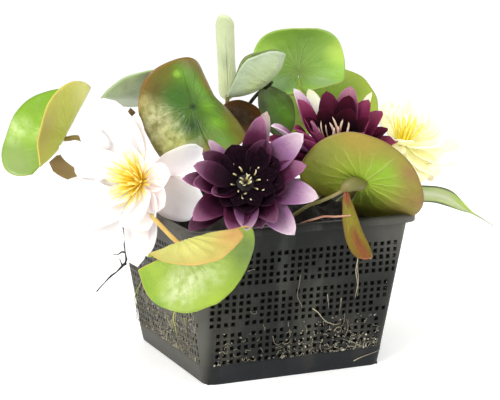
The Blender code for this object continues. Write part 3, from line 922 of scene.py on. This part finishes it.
def make_crumbs(finish):
    bm = bmesh.new()
    pick = Random(5)
    for _ in range(CRUMBS):
        if pick.random() < 0.62:
            x, z = pick.uniform(-70, 70), 16 + 30 * pick.random() ** 2.2
            if pick.random() > 0.2 + 0.8 * ease(x, -30, 30):
                continue
            place = on_front(x, z, 0.15)
        else:
            place = on_left(pick.uniform(-70, 70), 16 + 40 * pick.random() ** 1.7, 0.15)
        size = pick.uniform(0.3, 1.0) * MM
        stretch = Matrix.Diagonal((size * pick.uniform(0.7, 1.6), size * pick.uniform(0.6, 1.2),
                                   size * pick.uniform(0.5, 1.2))).to_4x4()
        turned = Matrix.Rotation(pick.uniform(0, pi), 4, (pick.random(), pick.random(), 1))
        bmesh.ops.create_icosphere(bm, subdivisions=1, radius=1,
                                   matrix=Matrix.Translation(place) @ turned @ stretch)
    piece("mud_crumbs", bm, (), (finish,))


# ---- tables


# Every pad: its blade; its stalk as (root, points passed, radius or radii) and, where it
# doesn't meet the blade square on, the direction in which it arrives; the stalk's two colours;
# what the pad's finishes are called; and for its upper and its under face the colours of heart,
# middle, margin and veins with whatever else the finish takes.
LEAVES = {
    "folded_leaf_left": (
        Pad((-133, 94, 171), (-173, 40), 17, (50, 50), -1, notch=(26, 14),
            swell=((178, 16, -0.35), (140, 18, 0.08), (108, 22, -0.06), (-150, 30, -0.14)),
            folds=(47, 61), fold_radius=12),
        ((-60, 38), ((-84, 60, 137), (-111, 83, 164), (-121, 90, 170.5)), 2.3), "9a8a3c 84703a",
        "left_pad", "7c9a38 86ac28 80a82c a4c45c",
        dict(rough=0.25, coat=0.35,
             spots=((-70, 50, 70, "8ca05c", 90), (60, 60, 50, "76a01e", 80)),
             # painted highlights on the glossy upper face
             painted_highlights=((-10, 80, 40, "d8e8a0", 90), (-5, 40, 30, "cfe28c", 70))),
        "ccd648 d2d854 d8d65c e2e488",
        dict(edge="c8ac60", spots=((-40, -90, 70, "c4b656", 80), (80, -30, 60, "eeec8c", 90)))),
    "pale_leaf_left": (
        Pad((-67, 39, 209), (106, 67), -112, (38, 34), 10, folds=(27, 3), arch=7),
        ((-52, 46), (), 1.9), "7c7a3a 5c5426", "pale_pad", "a8bc80 aec096 a2b878 c0cfa6", {},
        "c2d2b0 bccca8 a8bc88 ccd8ba", {}),
    "bronze_leaf": (
        Pad((-58, -8, 204), (-97, 20), 14, (42, 44), -3, notch=(0.6, 0), folds=(-26, -56),
            swell=((135, 22, 0.12), (176, 20, -0.16), (100, 30, -0.06), (-76, 13, -0.2)),
            fold_radius=40, arch=4.5, wave=9, wave_turn=22, quilt=0.1, pucker=1.8,
            crinkle=(112, 45)),
        ((-40, 4), ((-41, -3, 164), (-47, -3, 177), (-52, -4, 188)), 2.3), "3c4a20 2a3018",
        "bronze_pad", "3a5c16 4c6a16 6c6018 5c7c28",
        dict(edge="84541e", rough=0.3, coat=0.2, veins=0.04, main=0.0, relief=0.0003,
             spots=((0, 90, 70, "78741e", 85), (50, 50, 40, "5a4a12", 80),
                    (70, 70, 30, "7c5a1c", 80), (25, 25, 45, "34601a", 90),
                    (65, -5, 35, "5c8c18", 90), (30, -30, 35, "609418", 90),
                    (-5, -30, 30, "6a9a18", 90), (-40, -32, 35, "6a9a1c", 95),
                    # The very dark spot at (-35, 10) is painted shade in the fold.
                    (-80, -25, 35, "548214", 90), (-35, 10, 30, "223c12", 95),
                    (95, -30, 40, "78621e", 90), (40, -62, 40, "846420", 90),
                    (-40, -80, 45, "746c1e", 90), (-70, 50, 45, "7c7c24", 90),
                    (0, 0, 10, "1c2810", 100)),
             # painted highlights on the crinkled lower left
             painted_highlights=((-5, 75, 60, "dcdca8", 90), (-50, 60, 50, "d0d488", 80),
                     (35, 90, 35, "bcae6a", 80), (66, 10, 10, "a4d048", 100))),
        "7a6a3c 7a5638 824c34 9a7a54", {}),
    "rolled_young_leaf": (
        Pad((-2, 56, 203), (67, 8), -2, (37, 20), 33.5, folds=(170, 170), fold_radius=6.6,
            swell=((32, 16, -0.08), (-32, 16, -0.08), (160, 22, -0.25), (-160, 22, -0.25)),
            arch=-2, frill=0.3, quilt=0.1),
        ((-14, 38), (), 2.0), "7c7a3a 5c5426", "young_pad", "74b024 90bc4c a9c87c c6dba0", {},
        "d0dca4 d8e0b4 ccd6a8 e4ead0",
        dict(veins=0.08,
             spots=((80, -10, 40, "b6c496", 80), (-20, -50, 30, "7cb42c", 95),
                    (0, 50, 40, "b4c48e", 70), (-30, -10, 40, "c2d094", 80)))),
    "sage_leaf": (
        Pad((14, 6, 220), (154, 46), 3, (34, 33), -4, folds=(84, 64), fold_radius=10, arch=22,
            swell=((0, 22, -0.2), (28, 16, 0.05), (-28, 16, 0.05)), quilt=0.1),
        ((2, 36), ((6, 52, 178), (8, 42, 192), (11, 27, 206)), 1.6, (-80, 40)), "3c4224 2c2a18",
        "sage_pad", "66762c 6c7e34 6e7e42 8a985c", {}, "b6c890 b8c89a b2c2a2 c8d6b2",
        dict(veins=0.08, spots=((60, 0, 40, "b4c2a2", 80), (-40, -30, 40, "bccc88", 70)))),
    "round_leaf_back": (
        Pad((53, 35, 224), (-88, 24), -15, (34, 40), 7, notch=(3, 3), folds=(-6, 9), arch=35,
            wave=6, wave_turn=5, swell=((142, 22, 0.14),), quilt=0.5),
        ((36, 43), (), 2.0), "7c7a3a 5c5426", "round_pad", "6e8a34 7ca042 90b84a 9ec066",
        dict(rough=0.3, coat=0.2, veins=0.25, main=0.3,
             spots=((70, -80, 45, "b4d054", 80), (30, 80, 50, "a0c454", 80),
                    (-40, -50, 50, "8aa072", 80), (-50, 40, 50, "78966a", 85),
                    (85, 0, 40, "7ca04c", 70), (-10, 0, 25, "6e8430", 80))),
        "93a95e 93a95e 9cae5c b4c482", {}),
    "lime_leaf_back": (
        Pad((94, 55, 195), (-106, 50), -107, (39, 36), 1, notch=(1, 1), folds=(10, 10), arch=-6,
            swell=((-124, 25, 0.75),)),
        ((60, 43), (), 1.9), "7c7a3a 5c5426", "lime_pad", "749818 809e1e 96aa38 a0b850",
        dict(veins=0.12, spots=((60, 0, 50, "9cac3c", 70),)), "a9b45c a9b45c a9ae54 c0c67c", {}),
    "dark_leaf": (
        Pad((24, 13, 194), (-73, 13), 20, (25, 21), 2, notch=(0, 0), folds=(12, 12), frill=0.8,
            swell=((-125, 40, -0.2), (-40, 40, -0.28))),
        ((20, 22), (), 1.6), "3c4220 4c5a24", "dark_pad", "548024 4e6c24 40501a 5e7e30",
        dict(veins=0.1, spots=((-30, -30, 50, "5c8e26", 70), (50, 70, 50, "2c3414", 90))),
        "4f6228 4a5a28 4a4a24 6f7c40", {}),
    "brown_leaf": (
        Pad((-8, 16, 190), (-86, 45), -122, (19, 17), 2, notch=(0, 0), folds=(15, 15), frill=0.5),
        ((-10, 18), (), 1.5), "3c3420 2c2418", "brown_pad", "30210f 3c2814 5a3818 4e3a22",
        dict(edge="9a6424", veins=0.1), "4a3020 4a2a1c 4a261c 6a4c38", {}),
    "broad_leaf_right": (
        Pad((46, -93, 151), (58, 42), 45, (40, 50), 2, notch=(4, 20), folds=(-6, 5),
            swell=((152, 22, 0.45), (100, 40, 0.05), (40, 30, -0.05), (-75, 35, -0.04),
                   (-135, 30, 0.07)),
            fold_radius=30, arch=10.5, wave=-7.5, wave_turn=20, quilt=0.4),
        ((-12, -64),
         ((4, -80, 132), (14, -88, 138), (27, -95, 145.5), (30.5, -97, 149), (35, -98, 151)),
         (1.4, 1.4, 1.4, 1.5, 4.8, 5.6, 4.4)),
        # The stalk's colours are darkened as painted shade on its shadowed knob.
        "6c6a38 8a8050", "broad_pad", "6f8a34 6f8a34 7c7434 93a454", {},
        "88a824 8c9832 8a8234 bec866",
        dict(edge="7e5c30", veins=0.35, main=0.7, relief=0.0003, reach=0.05,
             spots=((50, 10, 45, "88b02a", 85), (50, 85, 55, "8c6a3a", 90),
                    (85, 35, 40, "8c6640", 80), (75, -60, 60, "9c8434", 80),
                    (0, -90, 50, "7c8430", 70), (-50, -60, 40, "7c8c34", 70),
                    # The dark spot at (-35, 30), left of the stalk, is painted shade.
                    (0, 85, 50, "867640", 80), (-35, 30, 50, "4c5c1c", 85)))),
    "red_hanging_leaf": (
        Pad((27, -111, 129), (81, -47), -178, (38, 7.5), 14, folds=(17, 17), fold_radius=4,
            arch=-11.5, egg=0.45, frill=0.3),
        ((-4, -72), ((8, -99, 128), (18, -106, 129)), 0.8, (-20, 0)), "a0604c c49a80",
        "hanging_pad", "8a8a3a 96703a 904c34 a88a54", {}, "827c1c 7c7422 745c24 8c8034",
        dict(veins=0.1,
             spots=((120, 0, 120, "844630", 100), (80, 0, 80, "844630", 100),
                    (-70, 0, 60, "864428", 100), (-50, 0, 35, "864428", 100)))),
    "folded_leaf_front": (
        Pad((-105, -107, 116), (-91, -11), -76, (46, 55), 7, folds=(89, -2), fold_radius=8,
            swell=((176, 22, -0.3), (16, 7, -0.16), (-40, 25, -0.05), (-172, 14, -0.06)), arch=8,
            quilt=0.8, pucker=2.0, crinkle=(-105, 60)),
        ((-84, -8), ((-93, -12, 126), (-101, -30, 127), (-105, -72, 122)), 1.9), "d6c262 c9a04c",
        "front_pad", "a6bc50 98b23a 94b02e bccc7c",
        dict(rough=0.25, coat=0.25, veins=0.15, relief=0.0004,
             spots=((-90, -30, 50, "6e9a14", 95), (-60, -70, 30, "78a41c", 80),
                    (95, -30, 60, "67803a", 90), (30, -95, 50, "a4bc3c", 80)),
             # painted highlights on the crinkled lower half
             painted_highlights=((-10, -55, 60, "f0f4c8", 95), (35, -50, 50, "dce8a8", 80))),
        "c4c45e c2c064 c6b45a dcd68c",
        dict(edge="c89058", veins=0.15,
             spots=((80, 40, 60, "cc9a60", 90), (0, 50, 40, "d6d070", 80),
                    (-70, 60, 50, "a8b452", 80)))),
}

# Every flower: centre; axis; petals as (clock, opening, length, width, tone); stalk; shape of
# the petals; stamens as rings of (count, foot, reach, height, bend), their radius in metres,
# their finish, its colours and glow; then for the inner face and the back of the petals a name,
# the colours from base to tip, the streaks' colour and whatever else the finish takes; and the
# finish of the receptacle.
FLOWERS = {
    "white_flower": (
        (-103, -7, 148), (-146, 17),
        ((341, 60, 70, 40, 0.1), (6, 56, 54, 20, 0.5), (345, 85, 58, 14, 2),
         (319, 47, 62, 24, 0.1), (289, 51, 66, 22, 0.1), (274, 62, 71, 22, 2), (9, 62, 57, 14, 1),
         (246, 54, 66, 25, 0.2), (224, 62, 68, 36, 0.2), (207, 68, 66, 34, 0.3),
         (164, 83, 68, 25, 0.5), (151, 77, 66, 24, 0.8), (141, 70, 50, 26, 0.7),
         (115, 72, 44, 24, 0.8), (80, 70, 42, 22, 0.8), (51, 112, 56, 21, 0.9),
         (106, 118, 54, 34, 0.9), *whorl(8, 12, 53, 8, 52, 30, 0.1)[3:],
         *whorl(5, 220, 44, 8, 40, 26, 0)[:3]),
        ((-54, 2), ()), (3.0, 0.55, 0.34, 0.2, 0.02, 1),
        (((24, 5, 24, 17, 0.3), (20, 4, 18, 22, 0.3), (16, 3, 12, 22, 0.3), (10, 2, 6, 18, 0.2)),
         0.0010, "golden_stamens", "f0cc3c f6e05c faf0a4", 0.1),
        ("white_petals",
         ("f6f0cc f9f6ee faf8f5 fbfaf8", "f8efe6 faf6f2 fbf9f7 fcfbfa",
          "eec8c0 f4dcd6 f6eae4 f8f4f0", "4c4626 463c22 3e321c 342816"),
         "f4e0da", dict(streaks=0.1, soft=0.9, glow=0.13)),
        ("white_petal_backs",
         ("f2dad2 f8ece8 faf5f2 fbf9f7", "f2d6d0 f6e4e0 f8efec faf6f4",
          "eabab2 f0d0ca f3e2dc f6eee8", "444428 463a22 3e3020 302418"),
         "eccac4", dict(streaks=0.2, soft=0.9, glow=0.13)),
        "receptacle_gold"),
    "purple_flower_front": (
        (-49, -90, 156), (-110, 33),
        ((15, 64, 51, 17, 0.5), (18, 78, 57, 15, 2), (30, 64, 36, 19, 0.2), (54, 70, 56, 22, 1),
         (80, 72, 47, 18, 0.55), (105, 75, 31, 20, 0.1), (105, 84, 55, 22, 1),
         (139, 92, 53, 22, 1), (150, 75, 42, 19, 0.25), (181, 70, 46, 18, 0.75),
         (195, 72, 48, 20, 0.5), (230, 78, 52, 21, 0.55), (240, 60, 34, 14, 0.35),
         (256, 60, 46, 20, 0.45), (270, 50, 50, 19, 0.6), (262, 62, 53, 16, 0.4),
         (327, 100, 48, 10, 0.8), (298, 62, 40, 18, 0.2), (229, 90, 56, 18, 0.2),
         (165, 80, 40, 19, 0.2), *whorl(9, 20, 68, 0, 30, 24, 0.02)),
        ((-26, -50), ()), (2.2, 0.72, 0.45, 0.22, 0.0, 1),
        (((17, 8, 15.5, 4, 0.9), (8, 7, 11, 5, 0.9), (10, 0.5, 4.5, 6, 0.9)), 0.0008,
         "dark_stamens", "080204 d4c88c f0e8c4"),
        ("plum_petals",
         ("010000 030102 060203 14060e", "050204 1c0812 4c1c36 a4668c",
          "0a0408 522848 946890 e2cad4", "5a4450 7c6068 a08890 b8a098"),
         "3c1032", dict(rough=0.42, streaks=0.6, gloss=0.07, places=(0.2, 0.46, 0.7, 0.97))),
        ("plum_petal_backs",
         ("1c0614 3a1028 5c1e46 8a3c70", "2a0a20 561844 8a3c74 b06c9c",
          "4a1c44 86508a b290b6 dccbd8", "5a4450 7c6068 a08890 b8a098"),
         "7a3a72", dict(gloss=0.1)),
        "receptacle_brown"),
    "purple_flower_back": (
        (55, -31, 167), (-113, 70),
        ((314, 50, 60, 16, 1), (312, 52, 51, 16, 0.55), (338, 62, 62, 15, 2),
         (350, 50, 51, 19, 0.15), (17, 52, 57, 20, 0.65), (18, 50, 48, 19, 0.05),
         (36, 61, 53, 19, 0.35), (44, 76, 58, 20, 0.5), (54, 87, 54, 17, 0.12),
         (62, 96, 60, 21, 0.5), (32, 65, 64, 9, 2), (254, 37, 36, 15, 0.6), (250, 60, 64, 20, 1),
         (252, 72, 62, 22, 0.3), (247, 54, 46, 24, 0.35), (233, 59, 44, 22, 0.3),
         (275, 92, 48, 22, 0.35), (262, 100, 44, 22, 0.3), (100, 92, 42, 17, 0.4),
         (150, 86, 42, 17, 0.3), (185, 84, 40, 16, 0.3), (215, 84, 44, 17, 0.4),
         *whorl(7, 335, 46, 0, 36, 21, 0), (70, 98, 42, 15, 2)),
        ((40, -12), ()), (2.2, 0.66, 0.45, 1.0, -0.02, 2),
        (((5, 4, 14, 19, 0.9), (4, 2.8, 9, 22, 0.9), (2, 1.4, 4, 20, 0.8)), 0.0013, "pink_stamens",
         "4a1420 c08070 f0d4bc"),
        ("crimson_petals",
         ("020101 060203 1a060c 420e20", "08020a 380a24 6c1a3c 983a60",
          "2c0e2c 8a2e6c b070a0 f0dce4", "d0c8a0 eceacc f6f4e4 e8e8c4"),
         "3a0c26", dict(rough=0.45, streaks=0.5, gloss=0.07)),
        ("crimson_petal_backs",
         ("1c0510 44102c 6e1c44 96406a", "2c0816 6a1840 963064 b8608c",
          "5a1a50 9a5294 c4a2c4 e0ccdc", "a8a070 c8c098 d8d2b0 c8c090"),
         "8a3462", dict(rough=0.5, gloss=0.06)),
        "receptacle_brown"),
    "yellow_flower": (
        (123, -18, 167), (-97, 69),
        ((355, 67, 43, 26), (12, 66, 49, 26), (32, 65, 48, 26), (50, 76, 50, 26), (75, 84, 50, 26),
         (105, 90, 48, 24), (150, 88, 52, 21, 0.9), (165, 97, 49, 24), (180, 104, 47, 24),
         (335, 66, 34, 18), (262, 84, 22, 18), (228, 86, 34, 22), (200, 58, 20, 15),
         (238, 60, 17, 14), (276, 60, 17, 14), (314, 58, 20, 15),
         *whorl(8, 20, 66, 6, 41, 28, 0.1)[:4], (164, 108, 45, 14, 2), (150, 100, 34, 12, 2)),
        ((70, 4), ((95, -8, 134),)), (2.6, 0.62, 0.32, 0.2, 0.02, 1),
        (((14, 4.2, 13, 17, 0.4), (10, 3, 8, 20, 0.3), (7, 1.6, 4, 19, 0.2)), 0.0012,
         "pale_gold_stamens", "ecd83c f2e250 f6ea74", 0.1),
        ("yellow_petals",
         ("f4ec9c f8f4bc faf8d0 fbf9dc", "f4eeac f8f4c0 faf7d0 f9f5c4",
          "f2eaa0 f5f0b4 f7f4c6 f5eea8", "94a05c c2bf84 dcd2a4 c4b48c"),
         "f6f0b4", dict(streaks=0.1, soft=0.9, glow=0.2)),
        ("yellow_petal_backs",
         ("f0e8ac f4efba f7f3c6 f8f5d0", "f0e8ac f4efba f7f3c6 f5f0b8",
          "ece4a2 f1ecb0 f4f0c0 f1eaaa", "7c8a4c a4a468 c2b87c b09a60"),
         "ece4a2", dict(streaks=0.2, soft=0.9, glow=0.2)),
        "receptacle_gold"),
}
RECEPTACLES = {"receptacle_gold": ("dcb844", "ecd060"), "receptacle_brown": ("0a0606", "140c0a")}

GRASS_ROUTE = (
    (93, -67, 136), (108, -74, 136), (122, -74, 134), (134, -75, 129.5), (145, -76, 122),
    (154, -75, 116.5), (165, -76, 110), (174, -77, 104))
GRASS_WIDTHS = (14, 15, 14.5, 13, 7, 2.2, 1.2, 0.6)
GRASS_ACROSS = (-60, 65)


def make_leaf(name, pad, stalk, stem, called, *looks):
    root, through, radius, *arrival = stalk
    faces = zip(("upper", "under"), looks[::2], looks[1::2])
    make_blade(name, pad, [leaf_finish(f"{called}_{side}", *codes.split(), **more)
                           for side, codes, more in faces])
    along = direction(*arrival[0]) if arrival else pad.normal
    radii = radius if isinstance(radius, tuple) else taper(radius * 1.05, radius * 0.9,
                                                           len(through) + 2)
    clear = radii[-1] * MM * (1 - along.dot(pad.normal))
    end = pad.at - pad.normal * (BLADE * 0.5 + clear)
    make_stalk(name, root, through, end, along, [r * MM for r in radii], stem)


def make_flower(name, centre, axis, petals, stalk, shape, stamens, face, back, hub):
    centre, axis = Vector(centre) * MM, direction(*axis)
    finishes = [petal_finish(*look[:3], **look[3]) for look in (face, back)]
    finishes.append(bpy.data.materials.get(hub) or stem_finish(hub, *RECEPTACLES[hub]))
    make_petals(name, centre, axis, petals, shape, finishes)
    rings, radius, *threads = stamens
    make_stamens(name + "_stamens", centre, axis, rings, thread_finish(*threads), radius)
    root, through = stalk
    end = centre - axis * (RECEPTACLE_DEPTH - RECEPTACLE_TOP - 0.0005)
    radii = taper(FLOWER_STALK_RADIUS * 1.05, FLOWER_STALK_RADIUS * 0.95, len(through) + 2)
    make_stalk(name, root, through, end, axis, radii, "8f8f4c 7c6f3c")


def make_grass(finish):
    """The strap leaf on the right, folded to a shallow V."""
    bm = bmesh.new()
    route = smooth_route(in_metres(GRASS_ROUTE))
    widths = smooth_route(in_metres((width, 0, 0) for width in GRASS_WIDTHS))
    across = direction(*GRASS_ACROSS)
    last = len(route) - 1
    bm.loops.layers.uv.new("petal")
    for vert, (way, share) in add_sheet(bm, 8, last).items():
        i = round(share * last)
        keel = across.cross(route[min(i + 1, last)] - route[max(i - 1, 0)]).normalized()
        half = widths[i].x / 2
        vert.co = route[i] + across * half * way - keel * half * 0.35 * abs(way)
    bmesh.ops.recalc_face_normals(bm, faces=bm.faces)
    strap = piece("grass_strap", bm, ("grass_leaf_right",), (finish, finish))
    thicken(strap, PETAL_WALL, 1)


def grass_finish():
    f = Finish("grass_blade", 0.4)
    across, along = f.uv("petal")
    ribs = f.noise(10, vector=f.spot(across * 6, along * 0.4))
    colour = f.mix(ribs.ease(0.35, 0.65), "98aa62", "bcc88c")
    for share, code in (
            # The pale stripe by the keel is a painted highlight.
            (abs(across - 0.45).ease(0.3, 0.0) * 0.6, "cfd3b8"),
            (abs(across - 0.5).ease(0.36, 0.48) * along.ease(0.7, 0.4), "3c5016"),
            (along.ease(0.35, 0.6) * across.ease(0.3, 0.7) * 0.8, "a6c438"),
            (along.ease(0.72, 0.85) * 0.8, "b4b8a4")):
        colour = f.mix(share, colour, code)
    return f.done(colour, ribs * 0.2 + 0.35, ribs, 0.0003)


def make_stage():
    """Pale floor, soft light and the camera of the picture."""
    scene = bpy.context.scene

    def stand(name, data):
        obj = bpy.data.objects.new(name, data)
        scene.collection.objects.link(obj)
        return obj

    bm = bmesh.new()
    bmesh.ops.create_circle(bm, cap_ends=True, segments=96, radius=FLOOR_RADIUS)
    mesh = bpy.data.meshes.new("floor")
    bm.to_mesh(mesh)
    bm.free()
    floor = stand("floor", mesh)
    mesh.materials.append(floor_finish())
    for name, place, size, watts in LAMPS:
        lamp = bpy.data.lights.new(name, "AREA")
        lamp.energy, lamp.size = watts, size
        obj = stand(name, lamp)
        obj.location = place
        toward = Vector(LAMPS_AIM) - Vector(place)
        obj.rotation_euler = toward.to_track_quat("-Z", "Y").to_euler()
    world = bpy.data.worlds.new("studio")
    studio = Nodes(world)
    sky = studio.node("ShaderNodeTexCoord")
    height = studio.node("ShaderNodeSeparateXYZ", output=2, Vector=sky)
    bright, dim = (1.05, 1.05, 1.05, 1), (0.3, 0.3, 0.3, 1)
    glow = studio.ramp(abs(height), (0.0, bright), (0.3, bright), (0.55, dim))
    studio.feed(studio.tree.nodes["Background"].inputs["Color"], glow)
    scene.world = world
    scene.view_settings.view_transform = "Standard"
    lens = bpy.data.cameras.new("camera")
    lens.lens, lens.sensor_width = CAMERA_LENS
    camera = stand("camera", lens)
    ahead = direction(*CAMERA_AIM)
    right = ahead.cross(Vector((0, 0, 1))).normalized()
    turned = Matrix((right, right.cross(ahead), -ahead)).transposed().to_4x4()
    camera.matrix_world = Matrix.Translation(CAMERA_PLACE) @ turned
    scene.camera = camera


def main():
    for obj in list(bpy.data.objects):
        bpy.data.objects.remove(obj, do_unlink=True)
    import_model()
    make_stage()
    make_basket(basket_finish())
    make_soil(soil_finish())
    for name, leaf in LEAVES.items():
        make_leaf(name, *leaf)
    for name, flower in FLOWERS.items():
        make_flower(name, *flower)
    make_grass(grass_finish())
    make_roots(stem_finish("pale_roots", "746c5a", "b8b094"))
    make_dark_roots(stem_finish("black_roots", "14130f", "2c2a24", 0.6))
    make_green_strands(stem_finish("green_strands", "8c9a2c", "bcc45c"))
    make_crumbs(crumb_finish())
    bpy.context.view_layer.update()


main()
